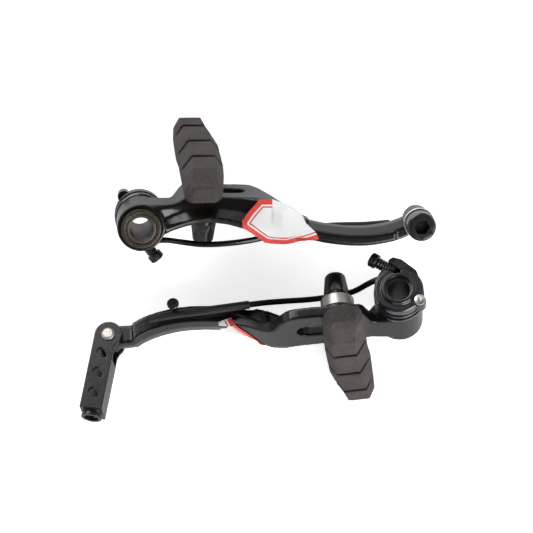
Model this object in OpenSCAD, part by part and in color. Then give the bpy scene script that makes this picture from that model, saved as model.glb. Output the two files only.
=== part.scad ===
// Linear-pull bicycle brake: the cable anchor arm and the noodle link arm,
// lying side by side on a flat surface. Each arm is drawn upright in its own
// frame (pivot axis along Z, pivot at the origin, arm along +X, brake shoe
// toward +Y, front face toward +Z) and then laid down where it rests.
// The two castings are mirror images of each other; shoes are identical.

/* [Arm casting] */
// Radius of the pivot boss
boss_r = 8.6; // [7.8:0.1:10]
// Front face of the boss above the reference plane
boss_front = 11; // [10.5:0.1:12]
// Rear face of the boss below the reference plane
boss_rear = 5.2; // [4:0.1:6]
// Distance from the pivot axis to the face that the shoe is bolted to
strap_y = 10.1; // [9.6:0.1:12]
// Thickness of the slotted strap
strap_t = 4.3; // [3.4:0.1:5]
// Front edge of the strap
strap_front = 4.5; // [3:0.1:6]
// Rear edge of the strap, behind the reference plane
strap_rear = 19.4; // [17:0.1:21]
// Front face of the neck
neck_front = 10; // [8.5:0.1:10.5]
// Rear face of the neck, behind the reference plane
neck_rear = 1.2; // [0.4:0.1:2]
// Width of the neck at its rear face
neck_w = 6.6; // [6:0.1:8]
// How far each side of the neck leans in toward the front
neck_lean = 1.3; // [0.6:0.1:1.8]
// Distance from the pivot to the cable anchor bolt
anchor_x = 100.2; // [98:0.1:104]
// Offset of the cable anchor bolt toward the shoe side
anchor_y = 2.2; // [1:0.1:4]
// Distance from the pivot to the rivet of the cable link
rivet_x = 107.6; // [104:0.1:110]
// Offset of that rivet toward the shoe side
rivet_y = 0.8; // [0:0.1:4]
// Radius of the round head at the end of each arm
head_r = 5.0; // [4.4:0.1:6]

/* [Shoe slot] */
// Width of the slot across the strap
slot_w = 7.8; // [7.6:0.1:9]
// Nearest end of the slot to the pivot
slot_start = 18.6; // [18:0.1:20]
// Farthest end of the slot from the pivot
slot_end = 38; // [36:0.1:39]
// Centre line of the slot, behind the reference plane
slot_rear = 7.6; // [6.5:0.1:8.5]

/* [Pivot hub] */
// Bore that fits the frame post
bore_r = 4.1; // [4:0.05:4.3]
// Outer radius of the bush that the arm turns on
bush_r = 5.45; // [5.2:0.05:5.8]
// Running clearance of the arm on the bush
bush_fit = 0.06; // [0.03:0.01:0.1]
// Outer radius of the front retaining ring
ring_r = 7.15; // [6.6:0.05:7.8]
// Front end of the bush and ring
hub_front = 12.4; // [12.2:0.1:13]
// Rear end of the spring holder, behind the reference plane
hub_rear = 16.4; // [15.8:0.1:17]
// Radius of the spring holder
holder_r = 9.1; // [8.8:0.1:9.6]
// Gap between parts that turn past each other
gap = 0.3; // [0.2:0.05:0.4]
// Angle of the tension screw from the arm's length
screw_a = -38; // [-45:1:-32]
// Radius of the tension screw thread
screw_r = 2.2; // [1.8:0.1:2.4]
// Radius of the tension screw head
screw_head_r = 2.7; // [2.5:0.1:3.2]
// Turn of the anchor arm's hub in its arm
anchor_hub_turn = -12; // [-20:1:0]
// How far the anchor arm's tension screw stands out
anchor_screw_out = 5.6; // [3.6:0.1:6]
// How far the link arm's tension screw stands out
link_screw_out = 3.6; // [3.6:0.1:6]
// Angle of the locating pin around the pivot
pin_a = 143; // [138:1:148]

/* [Return spring] */
// Radius of the spring wire
wire_r = 1.1; // [0.9:0.05:1.2]
// Outer radius of the sleeve over the spring leg
sleeve_r = 1.55; // [1.45:0.05:1.8]
// Distance from the pivot to the pin that holds the spring leg
stop_x = 82.4; // [80:0.1:85]
// Offset of that pin to the outer side
stop_y = -5.0; // [-5.4:0.1:-4.4]
// Radius of the stop pin
stop_r = 0.9; // [0.8:0.05:1.1]
// Rear end of the stop pin, behind the reference plane
stop_rear = 10.4; // [9.5:0.1:11.5]

/* [Shoe and washers] */
// Place of the anchor arm's shoe post along the slot
anchor_post_x = 23.4; // [23:0.1:33]
// Place of the link arm's shoe post along the slot
link_post_x = 22.6; // [22:0.1:33]
// Tilt of the anchor arm's shoe about the arm's length
anchor_shoe_tilt = 13.5; // [0:0.5:14]
// Tilt of the link arm's shoe about the arm's length
link_shoe_tilt = 4.5; // [-10:0.5:12]
// Turn of the anchor arm's shoe about its post
anchor_shoe_turn = 3; // [-10:0.5:10]
// Turn of the link arm's shoe about its post
link_shoe_turn = 3.5; // [-10:0.5:10]
// Radius of the threaded shoe post
post_r = 3; // [2.8:0.05:3.1]
// Radius of the ball seat between the washers
ball_r = 8; // [7.6:0.1:8.4]
// Radius of the washers
washer_r = 6.1; // [5.8:0.1:6.6]
// Stand-off of the thick washer pair from the strap
thick_h = 7.4; // [6.8:0.1:8.6]
// Stand-off of the thin washer pair from the strap
thin_h = 5.7; // [5.4:0.1:6.2]
// Bore of the domed washers, wide enough for the tilted post
dome_bore = 4.8; // [4.6:0.1:5]
// Height of the cap nut
nut_h = 9.8; // [9:0.1:11]
// Length of the shoe
shoe_l = 56.5; // [50:0.5:60]
// Share of the shoe that lies on the ramp side of the post
shoe_near = 26; // [22:0.5:30]
// Greatest width of the shoe
shoe_w = 15; // [13:0.1:16]
// Thickness of the shoe over its flat
shoe_t = 9.3; // [8.5:0.1:10.5]
// Width of the flat braking face
shoe_flat = 8.2; // [7:0.1:9]
// Offset of the shoe's middle from its post, toward the pivot
shoe_off = 1.8; // [0:0.1:3]
// Width of the water grooves
groove_w = 1.6; // [0.8:0.1:1.6]

/* [Cable clamp and link] */
// Radius of the anchor bolt head
bolt_head_r = 5.2; // [4.8:0.1:5.8]
// Height of the anchor bolt head
bolt_head_h = 6; // [5:0.1:7]
// Across-flats size of the hex socket
bolt_socket = 5; // [4:0.5:6]
// Sheet thickness of the cable link
link_t = 1.4; // [1.2:0.1:1.8]
// Width of the cable link
link_w = 10.2; // [9:0.1:12]
// Length of the cable link from rivet to noodle seat
link_l = 29.5; // [27:0.5:36]
// Angle of the cable link from the arm's length
link_a = 77; // [60:1:100]
// Radius of the noodle seat hole
seat_r = 2.6; // [2.2:0.1:3]

/* [Lie on the surface] */
// Roll of the anchor arm about its own length
anchor_roll = 17; // [8:0.1:20]
// Fall of the anchor arm toward its head
anchor_pitch = 5.0; // [2:0.1:7]
// Heading of the anchor arm
anchor_yaw = 0; // [-3:0.1:3]
// Pivot of the anchor arm, in X, Y and height
anchor_at = [-42.0, 16.0, 28.3]; // [-60:0.1:60]
// Roll of the link arm about its own length
link_roll = 23.3; // [20:0.1:32]
// Fall of the link arm toward its head
link_pitch = 1.9; // [0:0.1:7]
// Heading of the link arm
link_yaw = 185.2; // [182:0.1:189]
// Pivot of the link arm, in X, Y and height
link_at = [52.4, -14.4, 14.15]; // [-60:0.05:60]

/* [Hidden] */

$fn = 64;
e = 0.01;
casting_black = [0.10, 0.10, 0.11];
gloss_black = [0.05, 0.05, 0.07];
steel = [0.72, 0.72, 0.70];
rubber = [0.27, 0.25, 0.24];

// Distance from the middle of the strap to the seats of the washer pairs
thick_e = strap_t / 2 + thick_h;
thin_e = strap_t / 2 + thin_h;
ring_t = 0.5;
neck_wall = 4.7;
head_back = 0.6;
head_thick = 7.2;
fit = 0.05;
seat_gap = 0.08;
screw_z = -13.2;
screw_at = [3.9, -10.2];
link_side = link_w * 0.31;
link_mid = (link_side - link_w / 2) / 2;
stop_clear = 0.1;
// Where the link's back wall begins, clear of the neck when the link swings back
wall_from = 9;
spring_z = -6;
label_t = 0.25;
// Rear face of the holder's rim, where the locating pin's collar sits
rim_z = -15.2;
// Depth of the water grooves
groove_deep = 1.6;

// Smooth curve through points
function cr(a, b, c, d, t) = 0.5 * (2 * b + (c - a) * t
    + (2 * a - 5 * b + 4 * c - d) * t * t + (3 * b - a - 3 * c + d) * t * t * t);
function smooth(p, n) = concat([for (i = [0:len(p) - 2], k = [0:n - 1])
    cr(p[max(i - 1, 0)], p[i], p[i + 1], p[min(i + 2, len(p) - 1)], k / n)],
    [p[len(p) - 1]]);
function flip(p) = [for (i = [len(p) - 1:-1:0]) p[i]];
function shift_y(p, d) = [for (q = p) [q[0], q[1] + d]];

// Solid through rings of points, ends closed
module loft(rings) {
    n = len(rings[0]);
    m = len(rings);
    polyhedron([for (r = rings) for (p = r) p],
        concat([[for (i = [0:n - 1]) i]],
        [for (j = [0:m - 2], i = [0:n - 1])
            [j * n + i, (j + 1) * n + i, (j + 1) * n + (i + 1) % n, j * n + (i + 1) % n]],
        [[for (i = [n - 1:-1:0]) (m - 1) * n + i]]), convexity = 8);
}

// Tube or rod swept along points; inner = 0 makes a rod
function unit(v) = v / norm(v);
function tangent(p, i) = unit(p[min(i + 1, len(p) - 1)] - p[max(i - 1, 0)]);
function side_dir(t) = unit(cross(t, [0, 0, 1]));
function ring_at(p, i, r, s) = let (t = tangent(p, i), u = side_dir(t), v = cross(u, t))
    [for (k = [0:s - 1]) p[i] + r * (cos(360 * k / s) * u + sin(360 * k / s) * v)];
module rod(p, r, s = 10) {
    loft([for (i = [0:len(p) - 1]) flip(ring_at(p, i, r, s))]);
}
module tube(p, r, inner, s = 10) {
    n = len(p);
    pts = concat([for (i = [0:n - 1]) for (q = flip(ring_at(p, i, r, s))) q],
        [for (i = [0:n - 1]) for (q = flip(ring_at(p, i, inner, s))) q]);
    o = n * s;
    polyhedron(pts, concat(
        [for (j = [0:n - 2], i = [0:s - 1])
            [j * s + i, (j + 1) * s + i, (j + 1) * s + (i + 1) % s, j * s + (i + 1) % s]],
        [for (j = [0:n - 2], i = [0:s - 1])
            [o + j * s + i, o + j * s + (i + 1) % s, o + (j + 1) * s + (i + 1) % s,
             o + (j + 1) * s + i]],
        [for (i = [0:s - 1]) [i, (i + 1) % s, o + (i + 1) % s, o + i]],
        [for (i = [0:s - 1]) let (a = (n - 1) * s) [a + i, o + a + i,
             o + a + (i + 1) % s, a + (i + 1) % s]]), convexity = 8);
}

// Lays an arm on the surface
module lay_anchor() {
    translate(anchor_at) rotate([0, 0, anchor_yaw]) rotate([0, anchor_pitch, 0])
        rotate([anchor_roll, 0, 0]) children();
}
module lay_link() {
    translate(link_at) rotate([0, 0, link_yaw]) rotate([0, link_pitch, 0])
        rotate([link_roll, 0, 0]) children();
}
// The link arm is the mirror image of the anchor arm
module lay_link_mirrored() { lay_link() mirror([0, 0, 1]) children(); }

// Shoe side and outer side outlines of the arm, seen from the front
// The strap is flat wherever a washer can slide
flat_from = slot_start + slot_w / 2 - washer_r - 0.6;
flat_to = slot_end - slot_w / 2 + washer_r + 0.8;
shoe_side = concat(smooth([[1, boss_r - 0.5], [7, boss_r - 0.7], [12, boss_r - 0.5],
    [flat_from, strap_y]], 4), smooth([[flat_to, strap_y], [46, strap_y - 0.8],
    [51, strap_y - 3.2], [56, strap_y - 6.2], [61, strap_y - 8.3]], 4));
neck_mid = [[50, 1.6], [55, -0.4], [60, -1.9], [66, -3.3], [72, -4.1], [77, -4.4],
    [82, -4.3], [87, -3.6], [92, -2.4], [96, -0.9], [99, 0.6]];
function neck_width(x) = neck_w + max(0, 56 - x) * 0.55 + max(0, x - 90) * 0.06;

// One cross-section of the web between boss and neck
function web_ring(x, yb, yt, zb, zt, ft, fb) = [[x, yb, zb], [x, yt, zt],
    [x, yt, ft], [x, yt - 1.2, ft + 0.5], [x, (yb + yt) / 2 + 0.6, (ft + fb) / 2 - 1.3],
    [x, yb + 2.2, fb], [x, yb + 0.4, fb - 0.5], [x, yb, fb - 1.6]];
// One cross-section of the neck
function neck_ring(x, yc, w) = [[x, yc - w / 2, -neck_rear], [x, yc + w / 2, -neck_rear],
    [x, yc + w / 2, neck_wall - neck_rear], [x, yc + w / 2 - neck_lean, neck_front - 0.6],
    [x, yc + w / 2 - neck_lean - 0.6, neck_front],
    [x, yc - w / 2 + neck_lean + 0.6, neck_front],
    [x, yc - w / 2 + neck_lean, neck_front - 0.6], [x, yc - w / 2, neck_wall - neck_rear]];

// Outline of the slot, round at both ends
module round_slot(r) {
    x1 = slot_start + slot_w / 2;
    x2 = slot_end - slot_w / 2;
    translate([x1, 0]) circle(r = r);
    translate([x2, 0]) circle(r = r);
    translate([x1, -r]) square([x2 - x1, 2 * r]);
}

module arm_body(hx, hy) {
    neck_line = smooth(concat([for (p = neck_mid) if (p[0] < hx - 1) p], [[hx, hy]]), 2);
    difference() {
        union() {
            // Pivot boss
            translate([0, 0, -boss_rear]) cylinder(r = boss_r, h = boss_rear + boss_front);
            // Slotted strap, wide from front to rear, curving down to boss and neck
            intersection() {
                translate([0, 0, -strap_rear]) linear_extrude(strap_rear + boss_front)
                    polygon(concat(shoe_side, flip(shift_y(shoe_side, -strap_t))));
                translate([0, 40, 0]) rotate([90, 0, 0]) linear_extrude(80)
                    polygon(concat(smooth([[0, -boss_rear], [9.6, -boss_rear],
                        [11.8, -9], [13.6, -15], [15.6, 0.8 - strap_rear],
                        [18.4, -strap_rear]], 4),
                        smooth([[37, -strap_rear], [40.6, 1 - strap_rear],
                        [43.6, -14.6], [46, -9.4], [49, -6.2], [54, -3.6],
                        [60, -neck_rear - 0.4], [61.5, -neck_rear - 0.4]], 4),
                        [[61.5, 5], [52, strap_front + 2.5], [44, strap_front],
                        [17, strap_front], [9, boss_front - 3], [0, boss_front - 2]]));
            }
            // Front web from boss to neck, arched along its outer edge
            loft([web_ring(3, -6.4, 7.8, -4.6, -4.6, 9.2, 10.7),
                web_ring(7, -3.6, 7.6, -1, -3.5, 8.6, 10.6),
                web_ring(11, -1.6, 7.9, 3.6, 0.5, 7.2, 10.4),
                web_ring(15, -0.2, 8.9, 5.2, 1, 5.6, 10.2),
                web_ring(20, 1.1, strap_y - 0.3, 5.8, 1, strap_front, neck_front),
                web_ring(25, 1.6, strap_y - 0.2, 5.8, 1, strap_front, neck_front),
                web_ring(31, 0.9, strap_y - 0.2, 5.8, 1, strap_front, neck_front),
                web_ring(37, -0.7, strap_y - 0.2, 5.4, 1, strap_front + 0.4, neck_front),
                web_ring(43, -2.2, strap_y - 0.4, 3.4, 0, strap_front + 2, neck_front),
                web_ring(48, -3.4, strap_y - 1.6, 0.4, -1, neck_front - 2.4, neck_front),
                web_ring(53, -4.4, strap_y - 4.6, -neck_rear, -neck_rear,
                    neck_front - 1.2, neck_front)]);
            // Neck, bowed to the outer side, up to the head
            for (i = [0:len(neck_line) - 2]) hull() loft([for (p = [neck_line[i], neck_line[i + 1]])
                neck_ring(p[0], p[1], neck_width(p[0]))]);
            children();
        }
        // Running bore for the bush
        translate([0, 0, -boss_rear - 1]) cylinder(r = bush_r + bush_fit,
            h = boss_rear + boss_front + 2);
        // Shoe slot through the strap
        translate([0, strap_y + 5, -slot_rear]) rotate([90, 0, 0])
            linear_extrude(strap_t + 8) round_slot(slot_w / 2);
        // Hole for the spring stop pin
        translate([stop_x, stop_y, -neck_rear - 1]) cylinder(r = stop_r, h = 6);
    }
}

// Head of the anchor arm: a round boss with a tapped hole
module anchor_arm() {
    color(casting_black) lay_anchor() difference() {
        arm_body(anchor_x - 3.4, anchor_y - 2.6)
            translate([anchor_x, anchor_y, head_back]) cylinder(r = head_r, h = neck_front - head_back);
        translate([anchor_x, anchor_y, head_back - 2]) cylinder(r = 3 + fit, h = 14);
        // The neck stops in a step before the head
        translate([92, -12, neck_front - 1]) cube([20, 30, 5]);
    }
}

// Head of the link arm: an eye between the cheeks of the cable link
module link_arm() {
    color(casting_black) lay_link_mirrored() difference() {
        arm_body(rivet_x - 1, rivet_y - 0.4)
            translate([rivet_x, rivet_y, head_back]) cylinder(r = head_r - 0.4, h = head_thick);
        translate([rivet_x, rivet_y, head_back - 4]) cylinder(r = 2 + fit, h = 18);
        // Cheeks cut back for the link
        translate([rivet_x - 9, -15, head_back + head_thick]) cube([20, 30, 9]);
        translate([rivet_x - 9, -15, head_back - 8]) cube([20, 30, 8]);
    }
}

// Front retaining ring on the bush
module front_ring() {
    color([0.16, 0.13, 0.11]) rotate_extrude() polygon([[bush_r + fit, boss_front + gap],
        [ring_r - 0.3, boss_front + gap], [ring_r, boss_front + gap + 0.3],
        [ring_r, hub_front - 0.2], [ring_r - 0.3, hub_front], [bush_r + fit, hub_front]]);
}

// Steel bush, bored for the frame post
module bush() {
    color(steel) rotate_extrude() polygon([[bore_r, -hub_rear + 1.9], [bush_r, -hub_rear + 1.9],
        [bush_r, hub_front - 0.2], [bush_r - 0.3, hub_front + 0.1],
        [bore_r + 0.3, hub_front + 0.1], [bore_r, hub_front - 0.2]]);
}

// Spring route: out of the holder, round the front of the shoe nut, behind the neck
spring_route = [[1.2, -9.2, -8.6], [5, -8.9, -7.6], [10, -8.2, -5.4], [16, -7.8, -0.3],
    [23, -7.9, 2.4], [32, -7.4, 2.4], [41, -6.6, 0.2], [50, -5.2, -3],
    [60, -3.8, spring_z + 1], [71, -2.8, spring_z],
    [stop_x, stop_y + stop_r + sleeve_r + stop_clear, spring_z],
    [stop_x + 9.4, stop_y + stop_r + sleeve_r + stop_clear + 0.9, spring_z]];
spring_line = smooth(spring_route, 4);
sleeve_from = 30;
wire_line = [for (i = [0:len(spring_line) - 2]) spring_line[i]];
sleeve_line = [for (i = [sleeve_from:len(spring_line) - 1]) spring_line[i]];

module spring() { color(gloss_black) rod(wire_line, wire_r); }
module spring_sleeve() { color(gloss_black) tube(sleeve_line, sleeve_r, wire_r + 0.12); }

// Black spring holder with its coil housing, screw block and pin lug
module spring_holder(turn) {
    color(gloss_black) difference() {
        union() {
            rotate_extrude() polygon([[bush_r + fit, -boss_rear - gap],
                [holder_r - 0.5, -boss_rear - gap], [holder_r, -boss_rear - gap - 0.5],
                [holder_r, -7.4], [holder_r - 0.8, -7.8], [holder_r - 0.8, -9.4],
                [holder_r + 0.1, -9.8], [holder_r + 0.1, -10.6], [holder_r - 0.7, -11],
                [holder_r - 0.3, -11.4], [holder_r - 0.1, rim_z + 0.6], [holder_r - 0.7, rim_z],
                [6.6, rim_z], [6.1, -hub_rear + 0.2], [5.9, -hub_rear], [5, -hub_rear],
                [4.8, -hub_rear + 0.2], [4.8, -hub_rear + 1.8], [bush_r + fit, -hub_rear + 1.8]]);
            translate([0, 0, -15]) linear_extrude(4) difference() {
                polygon([[8.6, -3.4], [6.4, -7.3], [2.1, -12.6], [0.8, -13.1], [-2, -12],
                    [-7, -7], [-8, -3]]);
                circle(r = 7);
            }
            translate([8.8 * cos(pin_a), 8.8 * sin(pin_a), rim_z]) cylinder(r = 2.3, h = 4.4);
        }
        // Threaded hole for the tension screw
        translate([screw_at[0], screw_at[1], screw_z]) rotate([0, 90, screw_a])
            translate([0, 0, -6]) cylinder(r = screw_r + fit, h = 12);
        // Seat of the locating pin
        translate([8.8 * cos(pin_a), 8.8 * sin(pin_a), -16]) cylinder(r = 1.1 + fit, h = 3);
        // Where the spring leaves the housing
        rotate([0, 0, -turn]) rod([spring_route[0] - [3, 0.2, 0.6], spring_route[0],
            spring_route[1], spring_route[2]], wire_r + 0.15);
    }
}

// Tension screw, its thread drawn as fine rings, with a slotted head
module tension_screw(out) {
    color(gloss_black) translate([screw_at[0], screw_at[1], screw_z]) rotate([0, 90, screw_a])
    difference() {
        rotate_extrude() polygon(concat([[0, out - 7.6]],
            [for (i = [0:6]) each [[screw_r - 0.35, out - 7.4 + i], [screw_r, out - 7 + i],
                [screw_r - 0.35, out - 6.6 + i]]],
            [[screw_r - 0.35, out], [screw_head_r - 0.2, out],
             [screw_head_r, out + 0.3], [screw_head_r, out + 2.4],
             [screw_head_r - 0.4, out + 2.8], [0, out + 2.8]]));
        translate([-0.45, -5, out + 1.6]) cube([0.9, 10, 3]);
    }
}

// Locating pin with its collar, standing on the holder's lug
module locating_pin() {
    color(steel) translate([8.8 * cos(pin_a), 8.8 * sin(pin_a), 0]) rotate_extrude()
        polygon([[0, -18.4], [0.6, -18.4], [0.85, -18.1], [0.85, rim_z - 1], [2, rim_z - 0.8],
            [2.1, rim_z - 0.4], [2.1, rim_z - fit], [1.1, rim_z - fit], [1.1, -13.1], [0, -13.1]]);
}

// Pin that holds the spring leg, with its round head
module spring_pin() {
    color(gloss_black) translate([stop_x, stop_y, 0]) rotate_extrude()
        polygon([[0, -stop_rear], [1.9, -stop_rear], [2.2, 0.3 - stop_rear],
            [2.2, 0.9 - stop_rear], [stop_r, 1.2 - stop_rear], [stop_r, -neck_rear],
            [stop_r, -neck_rear + 4.9], [0, -neck_rear + 4.9]]);
}

// Shoe hardware frame: origin at the middle of the strap, post along Y
module on_strap(x, front) {
    translate([x, strap_y - strap_t / 2, -front * slot_rear]) children();
}
module tilted(t) { rotate([t, 0, 0]) children(); }
module turned(a) { rotate([0, a, 0]) children(); }

// Half of a ball joint: domed washer flat on the strap; s is the side
module dome(s) {
    rotate([s > 0 ? -90 : 90, 0, 0]) color(gloss_black) difference() {
        intersection() {
            sphere(r = ball_r, $fn = 72);
            translate([0, 0, strap_t / 2 + 0.02]) cylinder(r = washer_r, h = ball_r);
        }
        cylinder(r = dome_bore, h = 20);
    }
}
// Cupped washer that rides on the dome; far is its seat distance
module cup(s, far, c) {
    rotate([s > 0 ? -90 : 90, 0, 0]) color(c) difference() {
        cylinder(r = washer_r, h = far);
        sphere(r = ball_r + seat_gap, $fn = 72);
        cylinder(r = post_r + seat_gap, h = 40);
    }
}
module nut_ring(far) {
    rotate([90, 0, 0]) color([0.75, 0.62, 0.45]) translate([0, 0, far]) difference() {
        cylinder(r = 5.1, h = ring_t);
        translate([0, 0, -1]) cylinder(r = post_r + seat_gap, h = 3);
    }
}
// Tall tapered cap nut
module shoe_nut(far) {
    rotate([90, 0, 0]) color(gloss_black) translate([0, 0, far + ring_t + seat_gap])
        difference() {
        union() {
            cylinder(r1 = 4.85, r2 = 4.75, h = 1.6);
            translate([0, 0, 1.6]) cylinder(r1 = 4.75, r2 = 3.8, h = nut_h - 2.4);
            translate([0, 0, nut_h - 0.8]) cylinder(r1 = 3.8, r2 = 3.2, h = 0.8);
        }
        translate([0, 0, -1]) cylinder(r = post_r + fit, h = nut_h - 1);
        // Wrench flats
        for (k = [0:5]) rotate([0, 0, 60 * k + 30]) translate([4.2, -4, -1 + 2.6])
            cube([3, 8, nut_h]);
    }
}
// Post from the shoe into the nut
module shoe_post(near, far) {
    rotate([90, 0, 0]) color(steel) rotate_extrude() polygon([[0, -near - 3.4],
        [post_r, -near - 3.4], [post_r, far + ring_t + nut_h - 2.8],
        [post_r - 0.5, far + ring_t + nut_h - 2.3], [0, far + ring_t + nut_h - 2.3]]);
}

// Brake shoe: moulded rubber, curved to the rim, with a ramped near end
function shoe_mid(u) = -0.0021 * u * u - shoe_off;
function shoe_ring(u, w, t, f) = let (m = shoe_mid(u))
    [[m - w / 2, 0, u], [m + w / 2, 0, u], [m + w / 2, t * 0.62, u],
     [m + w / 2 - (w - f) * 0.42, t, u], [m - w / 2 + (w - f) * 0.58, t, u],
     [m - w / 2, t * 0.56, u]];
module groove(u) {
    m = shoe_mid(u);
    translate([m, shoe_t - groove_deep, u]) {
        translate([-shoe_flat / 2 - 0.6, 0, -groove_w / 2]) cube([shoe_flat + 1.2, 4, groove_w]);
        translate([shoe_flat / 2 - 0.4, 0.4, 0]) rotate([0, -28, -40])
            translate([0, -0.4, -groove_w / 2]) cube([9, 4, groove_w]);
        translate([-shoe_flat / 2 + 0.4, 0.4, 0]) rotate([0, 28, 40])
            translate([-9, -0.4, -groove_w / 2]) cube([9, 4, groove_w]);
    }
}
module shoe(near) {
    far_end = shoe_near - shoe_l;
    color(rubber) translate([0, near + seat_gap, 0]) difference() {
        loft([shoe_ring(far_end, 9.6, shoe_t - 1, 6.6), shoe_ring(far_end + 2.4, 11.6, shoe_t, 8),
            shoe_ring(far_end + 10, 13.6, shoe_t, shoe_flat),
            shoe_ring(far_end + 20, 15.4, shoe_t, shoe_flat),
            shoe_ring(-4, shoe_w, shoe_t, shoe_flat), shoe_ring(8, shoe_w, shoe_t, shoe_flat),
            shoe_ring(shoe_near - 10, shoe_w - 0.5, shoe_t, shoe_flat),
            shoe_ring(shoe_near - 3.4, shoe_w - 1.8, shoe_t - 2.4, shoe_flat + 1),
            shoe_ring(shoe_near - 0.8, shoe_w - 4.8, shoe_t - 3.2, shoe_flat),
            shoe_ring(shoe_near, shoe_w - 7.2, shoe_t - 3.8, shoe_flat - 1.6)]);
        rotate([90, 0, 0]) translate([0, 0, -3.6]) cylinder(r = post_r + fit, h = 8);
        groove(far_end + 9.6);
        groove(far_end + 23.1);
        groove(far_end + 36.6);
    }
}

// Cable anchor bolt with hex socket, and its clamp washer
module anchor_bolt() {
    z = neck_front - 1 + 1.6;
    color(steel) lay_anchor() translate([anchor_x, anchor_y, 0]) difference() {
        rotate_extrude() polygon([[0, head_back - 1.2], [2.5, head_back - 1.2], [3, head_back - 0.7],
            [3, z], [bolt_head_r, z], [bolt_head_r, z + bolt_head_h - 0.6],
            [bolt_head_r - 0.6, z + bolt_head_h], [0, z + bolt_head_h]]);
        translate([0, 0, z + bolt_head_h - 3.4])
            cylinder(r = bolt_socket / 2 / cos(30), h = 4, $fn = 6);
    }
}
module anchor_bolt_washer() {
    color(steel) lay_anchor() translate([anchor_x, anchor_y, neck_front - 1 + 0.05]) difference() {
        cylinder(r = 5.6, h = 1.5);
        translate([0, 0, -1]) cylinder(r = 3 + 0.15, h = 4);
    }
}

// Cable link: folded sheet with two cheeks, a back wall and a noodle seat
module link_cheek(holes) {
    linear_extrude(link_t) difference() {
        union() {
            circle(r = link_w / 2);
            polygon([[0, -link_w / 2], [link_l, -link_w / 2], [link_l, link_side],
                [link_w / 2, link_side], [0, link_w / 2]]);
        }
        circle(r = 2.1);
        if (holes) for (k = [0:2]) translate([6.9 + k * 7.9, link_mid + 0.3]) {
            translate([0, -0.9]) circle(r = 1.3);
            translate([1.6, 0.8]) circle(r = 0.9);
            polygon([[-0.9, 0.2], [1.2, -1.6], [2.4, 0.4], [1.2, 1.6]]);
        }
    }
}
module cable_link() {
    zb = head_back - gap - link_t;
    zf = head_back + head_thick + gap;
    color(gloss_black) lay_link_mirrored() translate([rivet_x, rivet_y, 0]) rotate([0, 0, link_a]) {
        difference() {
            union() {
                translate([0, 0, zb]) link_cheek(true);
                translate([0, 0, zf]) link_cheek(false);
                // Back wall, on the side away from the arm's tip
                translate([wall_from, link_side - link_t, zb])
                    cube([link_l - wall_from, link_t, zf + link_t - zb]);
                // Closed end with the noodle seat
                translate([link_l - link_t, -link_w / 2, zb])
                    cube([link_t, link_w / 2 + link_side, zf + link_t - zb]);
                translate([link_l - e, link_mid, (zb + zf + link_t) / 2]) rotate([0, 90, 0])
                    cylinder(r = seat_r + 1.2, h = 2);
            }
            translate([link_l - 4, link_mid, (zb + zf + link_t) / 2]) rotate([0, 90, 0])
                cylinder(r = seat_r, h = 9);
        }
    }
}
module link_rivet() {
    zb = head_back - gap - link_t;
    zf = head_back + head_thick + gap + link_t;
    color(steel) lay_link_mirrored() translate([rivet_x, rivet_y, 0]) rotate_extrude()
        polygon([[0, zb - 1.1], [1.7, zb - 1.1], [2.4, zb - 0.6], [2.4, zb - 0.05], [2, zb - 0.05],
            [2, zf + 0.05], [2.6, zf + 0.05], [2.6, zf + 0.5], [1.8, zf + 0.9], [0, zf + 0.9]]);
}

// Paper stickers wrapped over the neck
module anchor_label() {
    color("white") lay_anchor() translate([0, 0, neck_front + 0.05]) linear_extrude(label_t)
        polygon([[36, 2.4], [42.1, 10.7], [46.9, 11.1], [49.8, 9.2], [55.6, 9], [58.9, 4.7],
            [63.6, -3.1], [56.4, -6], [45, -5.6]]);
}
module link_label() {
    edge = smooth([[48.6, strap_y - 1.4], [51, strap_y - 2.8], [53.5, strap_y - 4.2],
        [56, strap_y - 5.7], [58.5, strap_y - 7], [61, strap_y - 8], [64, strap_y - 9],
        [66.8, strap_y - 9.8]], 2);
    color("white") lay_link_mirrored() {
        // On the front face
        translate([0, 0, neck_front + 0.05]) linear_extrude(label_t)
            polygon(concat(edge, [[66, -5], [60, -4.8], [50, -2]]));
        // Folded over the shoe side of the neck
        intersection() {
            translate([0, 0, -neck_rear - 0.3]) linear_extrude(neck_rear + neck_front + 0.4 + label_t)
                polygon(concat(edge, flip(shift_y(edge, label_t))));
            translate([0, 40, 0]) rotate([90, 0, 0]) linear_extrude(80)
                polygon([[49.5, 11], [66.8, 11], [66.8, -2], [60, -2]]);
        }
        // Corner turned onto the rear face
        translate([0, 0, -neck_rear - 0.05 - label_t]) linear_extrude(label_t)
            polygon([[60.6, strap_y - 7.7], [61.8, -1.2], [66.7, 0], [66.7, strap_y - 9.6]]);
    }
}

anchor_arm();
lay_anchor() front_ring();  // anchor_front_ring
lay_anchor() bush();  // anchor_bush
lay_anchor()  // anchor_spring_holder
    rotate([0, 0, anchor_hub_turn]) spring_holder(anchor_hub_turn);
lay_anchor() spring();  // anchor_spring
lay_anchor() spring_sleeve();  // anchor_spring_sleeve
lay_anchor() spring_pin();  // anchor_spring_pin
lay_anchor()  // anchor_tension_screw
    rotate([0, 0, anchor_hub_turn]) tension_screw(anchor_screw_out);
lay_anchor()  // anchor_locating_pin
    rotate([0, 0, anchor_hub_turn]) locating_pin();
lay_anchor() on_strap(anchor_post_x, 1)  // anchor_shoe
    tilted(anchor_shoe_tilt) turned(anchor_shoe_turn) shoe(thick_e);
lay_anchor() on_strap(anchor_post_x, 1)  // anchor_shoe_post
    tilted(anchor_shoe_tilt) shoe_post(thick_e, thin_e);
lay_anchor() on_strap(anchor_post_x, 1) dome(1);  // anchor_inner_dome
lay_anchor() on_strap(anchor_post_x, 1)  // anchor_inner_cup
    tilted(anchor_shoe_tilt) cup(1, thick_e, gloss_black);
lay_anchor() on_strap(anchor_post_x, 1) dome(-1);  // anchor_outer_dome
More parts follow.
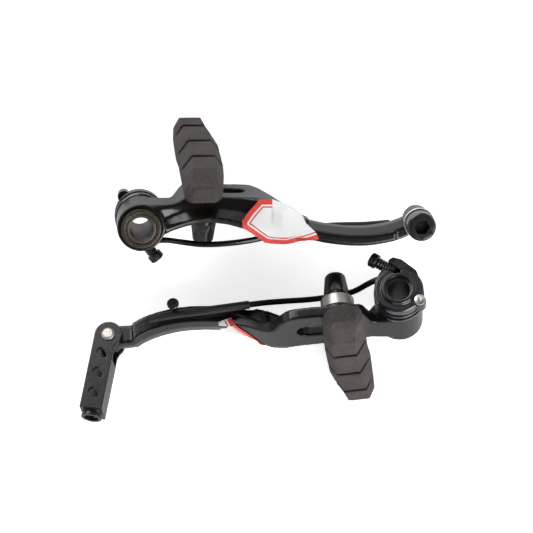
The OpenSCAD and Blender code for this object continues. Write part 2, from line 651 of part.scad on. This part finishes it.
lay_anchor() on_strap(anchor_post_x, 1)  // anchor_outer_cup
    tilted(anchor_shoe_tilt) cup(-1, thin_e, gloss_black);
lay_anchor() on_strap(anchor_post_x, 1)  // anchor_nut_ring
    tilted(anchor_shoe_tilt) nut_ring(thin_e);
lay_anchor() on_strap(anchor_post_x, 1)  // anchor_shoe_nut
    tilted(anchor_shoe_tilt) shoe_nut(thin_e);
anchor_label();
anchor_bolt();
anchor_bolt_washer();
link_arm();
lay_link_mirrored() front_ring();  // link_front_ring
lay_link_mirrored() bush();  // link_bush
lay_link_mirrored() spring_holder(0);  // link_spring_holder
lay_link_mirrored() spring();  // link_spring
lay_link_mirrored() spring_sleeve();  // link_spring_sleeve
lay_link_mirrored() spring_pin();  // link_spring_pin
lay_link_mirrored()  // link_tension_screw
    tension_screw(link_screw_out);
lay_link_mirrored() locating_pin();  // link_locating_pin
lay_link() on_strap(link_post_x, -1)  // link_shoe
    tilted(link_shoe_tilt) turned(link_shoe_turn) shoe(thin_e);
lay_link() on_strap(link_post_x, -1)  // link_shoe_post
    tilted(link_shoe_tilt) shoe_post(thin_e, thick_e);
lay_link() on_strap(link_post_x, -1) dome(1);  // link_inner_dome
lay_link() on_strap(link_post_x, -1)  // link_inner_cup
    tilted(link_shoe_tilt) cup(1, thin_e, gloss_black);
lay_link() on_strap(link_post_x, -1) dome(-1);  // link_outer_dome
lay_link() on_strap(link_post_x, -1)  // link_outer_cup
    tilted(link_shoe_tilt) cup(-1, thick_e, steel);
lay_link() on_strap(link_post_x, -1)  // link_nut_ring
    tilted(link_shoe_tilt) nut_ring(thick_e);
lay_link() on_strap(link_post_x, -1)  // link_shoe_nut
    tilted(link_shoe_tilt) shoe_nut(thick_e);
link_label();
cable_link();
link_rivet();
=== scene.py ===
"""A linear-pull bicycle brake, taken off the bike: anchor arm above, link arm below."""

import math

import bmesh
import bpy
from mathutils import Euler, Matrix, Vector
from mathutils.bvhtree import BVHTree


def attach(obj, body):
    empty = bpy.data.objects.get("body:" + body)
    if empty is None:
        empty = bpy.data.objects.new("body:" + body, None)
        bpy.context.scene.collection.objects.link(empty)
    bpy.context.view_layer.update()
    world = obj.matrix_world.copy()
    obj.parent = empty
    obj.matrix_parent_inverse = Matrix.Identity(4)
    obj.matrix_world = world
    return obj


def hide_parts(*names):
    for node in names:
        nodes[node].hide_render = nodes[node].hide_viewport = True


MM = 0.001
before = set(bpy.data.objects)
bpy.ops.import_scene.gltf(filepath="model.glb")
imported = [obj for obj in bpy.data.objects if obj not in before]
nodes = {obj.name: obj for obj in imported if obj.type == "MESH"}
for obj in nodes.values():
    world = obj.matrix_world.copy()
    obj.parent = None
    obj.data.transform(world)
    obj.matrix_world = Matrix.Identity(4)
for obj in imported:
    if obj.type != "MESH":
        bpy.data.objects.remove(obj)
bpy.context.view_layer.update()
scene = bpy.context.scene

# arm frames
# Each arm is described upright in its own frame, in millimetres, and laid down
# by these: pivot in X, Y and height, then roll, pitch and yaw in degrees.


def lay(at, roll, pitch, yaw, mirrored):
    turn = Euler((math.radians(roll), math.radians(pitch), math.radians(yaw)), "XYZ")
    place = Matrix.Translation(Vector(at) * MM) @ turn.to_matrix().to_4x4()
    if mirrored:
        place = place @ Matrix.Diagonal((1, 1, -1, 1))
    return place @ Matrix.Scale(MM, 4)


ANCHOR = lay((-42.0, 16.0, 28.3), 17, 5.0, 0, False)
LINK = lay((52.4, -14.4, 14.15), 23.3, 1.9, 185.2, True)

# camera
# Focal length and picture width in pixels of the photograph
FOCAL_PX, FRAME_PX = 2137, 533
SENSOR_MM = 36
CAMERA_AWAY = 780 * MM
target = Vector((3.6, 0.1, 20)) * MM
tilt = math.radians(3)
cam_data = bpy.data.cameras.new("camera")
cam_data.sensor_width = SENSOR_MM
cam_data.lens = SENSOR_MM * FOCAL_PX / FRAME_PX
cam = bpy.data.objects.new("camera", cam_data)
scene.collection.objects.link(cam)
cam.location = target + CAMERA_AWAY * Vector((0, -math.sin(tilt), math.cos(tilt)))
cam.rotation_euler = (tilt, 0, 0)
scene.camera = cam

# light
# Strength of the room's light near the table and overhead
ROOM_LOW, ROOM_HIGH = 0.95, 0.10
scene.view_settings.view_transform = "Standard"
world = bpy.data.worlds.new("world")
scene.world = world
world.use_nodes = True
wt = world.node_tree
wt.nodes.clear()
path = wt.nodes.new("ShaderNodeLightPath")
room = wt.nodes.new("ShaderNodeBackground")
room.inputs["Color"].default_value = (0.97, 0.985, 1, 1)
# The room is bright near the table and dark overhead, so black paint keeps its depth
around = wt.nodes.new("ShaderNodeTexCoord")
axes = wt.nodes.new("ShaderNodeSeparateXYZ")
fall = wt.nodes.new("ShaderNodeMapRange")
fall.interpolation_type = "SMOOTHSTEP"
fall.inputs["From Min"].default_value = 0.05
fall.inputs["From Max"].default_value = 0.95
fall.inputs["To Min"].default_value = ROOM_LOW
fall.inputs["To Max"].default_value = ROOM_HIGH
wt.links.new(around.outputs["Generated"], axes.inputs[0])
wt.links.new(axes.outputs["Z"], fall.inputs["Value"])
wt.links.new(fall.outputs[0], room.inputs["Strength"])
white = wt.nodes.new("ShaderNodeBackground")
white.inputs["Strength"].default_value = 1
mix = wt.nodes.new("ShaderNodeMixShader")
out = wt.nodes.new("ShaderNodeOutputWorld")
wt.links.new(path.outputs["Is Camera Ray"], mix.inputs[0])
wt.links.new(room.outputs[0], mix.inputs[1])
wt.links.new(white.outputs[0], mix.inputs[2])
wt.links.new(mix.outputs[0], out.inputs[0])


def area_lamp(name, at, aim, size, watts, colour=(1, 1, 1)):
    data = bpy.data.lights.new(name, "AREA")
    data.shape = "RECTANGLE"
    data.size, data.size_y = size
    data.energy = watts
    data.color = colour
    lamp = bpy.data.objects.new(name, data)
    lamp.location = at
    lamp.rotation_euler = (Vector(aim) - Vector(at)).to_track_quat("-Z", "Y").to_euler()
    scene.collection.objects.link(lamp)


TABLE = (0, 0, 0.01)
area_lamp("key", (0.55, -0.62, 0.50), TABLE, (0.7, 0.5), 8.5)
area_lamp("fill", (-0.45, 0.75, 0.42), TABLE, (0.9, 0.5), 6.0, (0.97, 0.98, 1))

# materials
RELIEF_DEPTH = 0.3 * MM
COAT_ROUGH = 0.12
CREVICE_REACH = 1.6 * MM


def material(name, colour, rough, metal=0.0, vary=0.12, grain=900, bump=0.05, bump_grain=2500,
             rough_vary=0.06, spec=0.5, coat=0.0, second=None, patch=110, groove_shade=None):
    """A finished surface: base colour clouded between two tones, varied gloss, fine relief, and painted
    shade in narrow grooves when a shade colour is given.
    """
    m = bpy.data.materials.new(name)
    m.use_nodes = True
    t = m.node_tree
    t.nodes.clear()
    shader = t.nodes.new("ShaderNodeBsdfPrincipled")
    end = t.nodes.new("ShaderNodeOutputMaterial")
    t.links.new(shader.outputs[0], end.inputs[0])
    shader.inputs["Metallic"].default_value = metal
    shader.inputs["Specular IOR Level"].default_value = spec
    shader.inputs["Coat Weight"].default_value = coat
    shader.inputs["Coat Roughness"].default_value = COAT_ROUGH
    where = t.nodes.new("ShaderNodeTexCoord")

    def noise(scale, detail, rough=0.55):
        n = t.nodes.new("ShaderNodeTexNoise")
        n.inputs["Scale"].default_value = scale
        n.inputs["Detail"].default_value = detail
        n.inputs["Roughness"].default_value = rough
        t.links.new(where.outputs["Object"], n.inputs["Vector"])
        return n.outputs["Fac"]

    def blend_of(a, b, low, high):
        """The mean of two noises, stretched to run from low to high."""
        ramp = t.nodes.new("ShaderNodeMapRange")
        ramp.inputs["From Min"].default_value = 0.3
        ramp.inputs["From Max"].default_value = 0.7
        ramp.inputs["To Min"].default_value = low
        ramp.inputs["To Max"].default_value = high
        both = t.nodes.new("ShaderNodeMath")
        both.operation = "MULTIPLY_ADD"
        both.inputs[1].default_value = 0.5
        half = t.nodes.new("ShaderNodeMath")
        half.operation = "MULTIPLY"
        half.inputs[1].default_value = 0.5
        t.links.new(a, both.inputs[0])
        t.links.new(b, half.inputs[0])
        t.links.new(half.outputs[0], both.inputs[2])
        t.links.new(both.outputs[0], ramp.inputs["Value"])
        return ramp.outputs[0]

    cloud, fine = noise(patch, 3), noise(grain, 6)
    tone = t.nodes.new("ShaderNodeMix")
    tone.data_type = "RGBA"
    dark = [c * (1 - vary) for c in colour]
    light = [min(1, c * (1 + vary)) for c in (second or colour)]
    tone.inputs["A"].default_value = (*dark, 1)
    tone.inputs["B"].default_value = (*light, 1)
    t.links.new(blend_of(cloud, fine, 0, 1), tone.inputs["Factor"])
    colour_out = tone.outputs["Result"]
    if groove_shade:
        # Painted shade: darker in the narrow grooves, by how hemmed in each point is
        crevice = t.nodes.new("ShaderNodeAmbientOcclusion")
        crevice.inputs["Distance"].default_value = CREVICE_REACH
        crevice.samples = 8
        edge = t.nodes.new("ShaderNodeMapRange")
        edge.inputs["From Min"].default_value = 0.50
        edge.inputs["From Max"].default_value = 0.88
        shade_mix = t.nodes.new("ShaderNodeMix")
        shade_mix.data_type = "RGBA"
        shade_mix.inputs["A"].default_value = (*groove_shade, 1)
        t.links.new(crevice.outputs["AO"], edge.inputs["Value"])
        t.links.new(edge.outputs[0], shade_mix.inputs["Factor"])
        t.links.new(colour_out, shade_mix.inputs["B"])
        colour_out = shade_mix.outputs["Result"]
    t.links.new(colour_out, shader.inputs["Base Color"])
    t.links.new(blend_of(fine, cloud, rough - rough_vary, rough + rough_vary), shader.inputs["Roughness"])
    relief = t.nodes.new("ShaderNodeBump")
    relief.inputs["Strength"].default_value = bump
    relief.inputs["Distance"].default_value = RELIEF_DEPTH
    t.links.new(noise(bump_grain, 4, 0.65), relief.inputs["Height"])
    t.links.new(relief.outputs[0], shader.inputs["Normal"])
    return m


MATERIALS = {
    "casting": material("satin_black_paint", (0.0052, 0.0046, 0.0040), 0.23, bump=0.06, bump_grain=1600,
                        vary=0.25, second=(0.0095, 0.0080, 0.0065), rough_vary=0.05, spec=0.42),
    "gloss": material("glossy_black_plastic", (0.0055, 0.0055, 0.0065), 0.22, bump=0.10, bump_grain=900,
                      vary=0.3, second=(0.008, 0.008, 0.011), rough_vary=0.08, coat=0.5),
    "black_steel": material("black_oxide_steel", (0.009, 0.0085, 0.008), 0.27, metal=0.1, bump=0.10,
                            vary=0.3, second=(0.017, 0.014, 0.012), rough_vary=0.1, coat=0.2),
    "nut": material("browned_black_nut", (0.012, 0.010, 0.009), 0.25, metal=0.1, bump=0.10, bump_grain=1300,
                    vary=0.3, second=(0.022, 0.016, 0.013), rough_vary=0.10, patch=60),
    "bronzed": material("dark_bronze_ring", (0.060, 0.048, 0.036), 0.40, metal=0.7, bump=0.15,
                        vary=0.3, second=(0.085, 0.066, 0.048), rough_vary=0.12),
    # Painted shade in part: dull steel darkened so the bushes' bores read dark; the shoe posts share this
    # colour
    "plain_steel": material("dull_steel_bush_with_painted_shade", (0.070, 0.060, 0.052), 0.42, metal=0.75, bump=0.14,
                            bump_grain=1400, vary=0.3, second=(0.12, 0.10, 0.085), rough_vary=0.12),
    "bright_steel": material("zinc_steel", (0.46, 0.44, 0.41), 0.36, metal=0.9, bump=0.16, bump_grain=1500,
                             vary=0.2, second=(0.56, 0.52, 0.47), rough_vary=0.12),
    "bolt": material("dark_zinc_bolt", (0.012, 0.0115, 0.011), 0.22, metal=0.2, bump=0.06, bump_grain=1400,
                     vary=0.30, second=(0.018, 0.017, 0.016), rough_vary=0.06, coat=0.3),
    "link_black": material("black_link", (0.005, 0.0045, 0.004), 0.26, bump=0.05, bump_grain=1200,
                           vary=0.3, second=(0.009, 0.008, 0.007), rough_vary=0.08),
    "silver": material("polished_washer", (0.86, 0.85, 0.83), 0.24, metal=1.0, bump=0.04, vary=0.06,
                       rough_vary=0.05),
    "brass": material("thin_brass", (0.60, 0.42, 0.26), 0.33, metal=0.9, vary=0.2),
    "wire": material("black_spring_wire", (0.007, 0.007, 0.007), 0.22, metal=0.1, bump=0.06, vary=0.3),
    "sleeve": material("matt_black_sleeve", (0.009, 0.009, 0.009), 0.42, bump=0.1, vary=0.3),
    # The brake rubber's grooves get painted shade, near black
    "rubber": material("brake_rubber", (0.034, 0.0262, 0.0240), 0.66, bump=0.95, bump_grain=1900, grain=1500,
                       vary=0.45, second=(0.062, 0.049, 0.045), rough_vary=0.08, spec=0.35, patch=140,
                       groove_shade=(0.003, 0.0022, 0.0022)),
    "paper": material("label_paper", (0.94, 0.935, 0.925), 0.55, bump=0.06, vary=0.02),
    "red_ink": material("red_border", (0.80, 0.075, 0.055), 0.5, bump=0.06, vary=0.06),
}
WEAR = {
    "arm": "casting", "front_ring": "bronzed", "bush": "plain_steel", "spring_holder": "gloss",
    "spring": "wire", "spring_sleeve": "sleeve", "spring_pin": "black_steel",
    "tension_screw": "black_steel", "locating_pin": "bright_steel", "shoe": "rubber",
    "shoe_post": "plain_steel", "inner_dome": "black_steel", "inner_cup": "black_steel",
    "outer_dome": "black_steel", "outer_cup": "black_steel", "nut_ring": "brass",
    "shoe_nut": "nut", "label": "paper",
}
SPECIAL = {"anchor_bolt": "bolt", "anchor_bolt_washer": "silver", "cable_link": "link_black",
           "link_rivet": "bright_steel", "link_outer_cup": "bright_steel"}


def wear_of(name):
    return SPECIAL.get(name) or WEAR[name.split("_", 1)[1]]


# CAD nodes
# Voxel size in millimetres and rounds of smoothing, for pieces with moulded or cast edges
FILLETS = {"arm": (0.36, 14), "shoe": (0.22, 3), "spring_holder": (0.13, 3), "shoe_nut": (0.14, 9),
           "cable_link": (0.13, 4)}
UNTOUCHED = ("spring", "spring_sleeve", "label")
BEVEL_MM = 0.12
BEVEL_FROM_DEG = 32


def remeshed(obj, voxel, rounds):
    """Rounds a casting's or moulding's hard edges into fillets."""
    m = obj.modifiers.new("voxels", "REMESH")
    m.mode = "VOXEL"
    m.voxel_size = voxel
    m.use_smooth_shade = True
    s = obj.modifiers.new("fillets", "SMOOTH")
    s.factor = 0.5
    s.iterations = rounds


def bevelled(obj, width):
    """A small bright edge on machined and pressed parts."""
    w = obj.modifiers.new("weld", "WELD")
    w.merge_threshold = 1e-6
    b = obj.modifiers.new("edge", "BEVEL")
    b.width = width
    b.segments = 2
    b.limit_method = "ANGLE"
    b.angle_limit = math.radians(BEVEL_FROM_DEG)
    b.harden_normals = False
    n = obj.modifiers.new("normals", "WEIGHTED_NORMAL")
    n.keep_sharp = False


for name, obj in nodes.items():
    kind = name.split("_", 1)[1]
    obj.data.materials.clear()
    obj.data.materials.append(MATERIALS[wear_of(name)])
    for poly in obj.data.polygons:
        poly.use_smooth = True
    if name in FILLETS or kind in FILLETS:
        voxel, rounds = FILLETS.get(name) or FILLETS[kind]
        remeshed(obj, voxel * MM, rounds)
    elif kind not in UNTOUCHED:
        bevelled(obj, BEVEL_MM * MM)

# labels
# In millimetres: the red border's width, the thin line's two sides, how far the paper
# stands off, its thickness, the spacing of its mesh, and how deep below its highest
# point it still follows the arm
RED_TO, LINE_FROM, LINE_TO = 1.85, 2.45, 2.95
PAPER = 0.28
PAPER_THICK = 0.08
STEP = 0.8
FOLLOW_DEEP = 4.5
# How fast the paper falls away past the arm's edge, and rounds of smoothing
DROOP = 0.55
SMOOTHINGS = 30
# Above or below the arm, where the rays onto it start
RAY_FROM = 30


def segment_distance(p, a, b, open_start, open_end):
    """Distance to a stretch of border; past the border's own ends nothing is inked."""
    d = b - a
    k = (p - a).dot(d) / d.length_squared
    if (open_start and k < 0) or (open_end and k > 1):
        return math.inf
    return (p - a - max(0.0, min(1.0, k)) * d).length


def tree_of(obj, place):
    """The node's mesh in the arm's own frame, for casting rays, in millimetres."""
    back = place.inverted()
    mesh = obj.data
    verts = [back @ v.co for v in mesh.vertices]
    return BVHTree.FromPolygons(verts, [tuple(p.vertices) for p in mesh.polygons])


def cut_lines(outline, border):
    """Points and directions of the cuts that part the paper: along the border, then a grid."""
    lines = []
    for a, b in zip(border, border[1:]):
        a, b = Vector(a), Vector(b)
        side = Vector((b.y - a.y, a.x - b.x)).normalized()
        for off in (RED_TO, LINE_FROM, LINE_TO):
            for sign in (1, -1):
                lines.append((a + side * off * sign, side))
    for end, before in ((border[0], border[1]), (border[-1], border[-2])):
        lines.append((Vector(end), (Vector(end) - Vector(before)).normalized()))
    for k, side in enumerate((Vector((1, 0)), Vector((0, 1)))):
        low = min(p[k] for p in outline)
        high = max(p[k] for p in outline)
        for i in range(1, int((high - low) / STEP) + 1):
            lines.append((side * (low + i * STEP), side))
    return lines


def drape(bm, tree, flat, axis, sign):
    """Lays the paper's points on the arm, lets it sag past the edge, and smooths it."""
    down = Vector((0, 0, 0))
    down[axis] = -sign
    hit = {}
    for v in bm.verts:
        start = v.co.copy()
        start[axis] = sign * RAY_FROM
        there = tree.ray_cast(start, down)[0]
        if there is not None and abs(there[axis] - sign * RAY_FROM) < RAY_FROM + 1:
            hit[v] = there[axis]
    best = max(h * sign for h in hit.values())
    hit = {v: h for v, h in hit.items() if h * sign > best - FOLLOW_DEEP}
    for v in bm.verts:
        near, gap = v, 0.0
        if v not in hit:
            near = min(hit, key=lambda q: (flat(q.co) - flat(v.co)).length)
            gap = (flat(near.co) - flat(v.co)).length
        v.co[axis] = hit[near] + sign * (PAPER - DROOP * gap)
    for _ in range(SMOOTHINGS):
        new = {}
        for v in bm.verts:
            mean = sum(e.other_vert(v).co[axis] for e in v.link_edges) / len(v.link_edges)
            w = 0.5 * v.co[axis] + 0.5 * mean
            if v in hit:
                floor = hit[v] + sign * PAPER
                w = w if (w - floor) * sign > 0 else floor
            new[v] = w
        for v, w in new.items():
            v.co[axis] = w


def label(name, outline, border, place, tree, axis, sign):
    """Paper on the arm. outline and border lie across axis; sign says from which side."""
    across = [k for k in range(3) if k != axis]

    def spot(u, v):
        p = Vector((0, 0, 0))
        p[across[0]], p[across[1]] = u, v
        return p

    def flat(co):
        return Vector((co[across[0]], co[across[1]]))

    bm = bmesh.new()
    bm.faces.new([bm.verts.new(spot(u, v)) for u, v in outline])
    for at, side in cut_lines(outline, border):
        geom = bm.verts[:] + bm.edges[:] + bm.faces[:]
        bmesh.ops.bisect_plane(bm, geom=geom, plane_co=spot(*at), plane_no=spot(*side), dist=1e-5)
    last = len(border) - 2
    for f in bm.faces:
        p = flat(f.calc_center_median())
        d = min(segment_distance(p, Vector(border[i]), Vector(border[i + 1]), i == 0, i == last)
                for i in range(last + 1))
        f.material_index = int(d < RED_TO or LINE_FROM <= d < LINE_TO)
        f.smooth = True
    drape(bm, tree, flat, axis, sign)
    mesh = bpy.data.meshes.new(name)
    bmesh.ops.transform(bm, matrix=place, verts=bm.verts)
    bmesh.ops.recalc_face_normals(bm, faces=bm.faces)
    bm.to_mesh(mesh)
    bm.free()
    mesh.materials.append(MATERIALS["paper"])
    mesh.materials.append(MATERIALS["red_ink"])
    obj = bpy.data.objects.new(name, mesh)
    scene.collection.objects.link(obj)
    thick = obj.modifiers.new("paper", "SOLIDIFY")
    thick.thickness = PAPER_THICK * MM
    thick.offset = 0
    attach(obj, "arms")
    return obj


anchor_tree = tree_of(nodes["anchor_arm"], ANCHOR)
link_tree = tree_of(nodes["link_arm"], LINK)
left_border = [(47.0, 10.11), (42.5, 9.97), (36.0, 2.5), (36.3, 0.2), (39.0, -1.54),
               (44.65, -5.86), (46.9, -6.29)]
right_border = [(51.9, -6.37), (55.75, -6.24), (58.98, -5.41), (63.96, -3.72)]
right_edge = [(62.65, -1.17), (59.42, 1.5), (57.96, 4.47), (53.54, 7.78), (49.6, 9.3)]
anchor_paper = label(
    "anchor_sticker", left_border + right_border + right_edge,
    left_border + right_border, ANCHOR, anchor_tree, 2, 1)
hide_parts("anchor_label")

side_border = [(49.4, 9.6), (60.2, -1.1)]
side_paper = label(
    "link_sticker_side", side_border + [(66.8, -1.1), (66.8, 9.6)],
    side_border, LINK, link_tree, 1, 1)
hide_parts("link_label")
# The corner turned onto the link arm's back
back_border = [(60.2, 2.6), (61.8, -1.2)]
label(
    "link_sticker_back", back_border + [(66.7, 0), (66.7, 1.4)],
    back_border, LINK, link_tree, 2, -1)

# floor
FLOOR_SIZE = 6
FLOOR_DROP = 0.2 * MM
# White that the camera sees on the table beside its own diffuse light
FLOOR_GLOW = 0.68
bpy.ops.mesh.primitive_plane_add(size=FLOOR_SIZE, location=(0, 0, -FLOOR_DROP))
floor = bpy.context.object
floor.name = "floor"
fm = bpy.data.materials.new("white_table")
fm.use_nodes = True
ft = fm.node_tree
ft.nodes.clear()
soft = ft.nodes.new("ShaderNodeBsdfDiffuse")
soft.inputs["Color"].default_value = (0.90, 0.905, 0.915, 1)
glow = ft.nodes.new("ShaderNodeEmission")
glow.inputs["Color"].default_value = (1, 1, 1, 1)
glow.inputs["Strength"].default_value = FLOOR_GLOW
none = ft.nodes.new("ShaderNodeEmission")
none.inputs["Strength"].default_value = 0
lp = ft.nodes.new("ShaderNodeLightPath")
pick = ft.nodes.new("ShaderNodeMixShader")
add = ft.nodes.new("ShaderNodeAddShader")
fo = ft.nodes.new("ShaderNodeOutputMaterial")
ft.links.new(lp.outputs["Is Camera Ray"], pick.inputs[0])
ft.links.new(none.outputs[0], pick.inputs[1])
ft.links.new(glow.outputs[0], pick.inputs[2])
ft.links.new(soft.outputs[0], add.inputs[0])
ft.links.new(pick.outputs[0], add.inputs[1])
ft.links.new(add.outputs[0], fo.inputs[0])
floor.data.materials.append(fm)
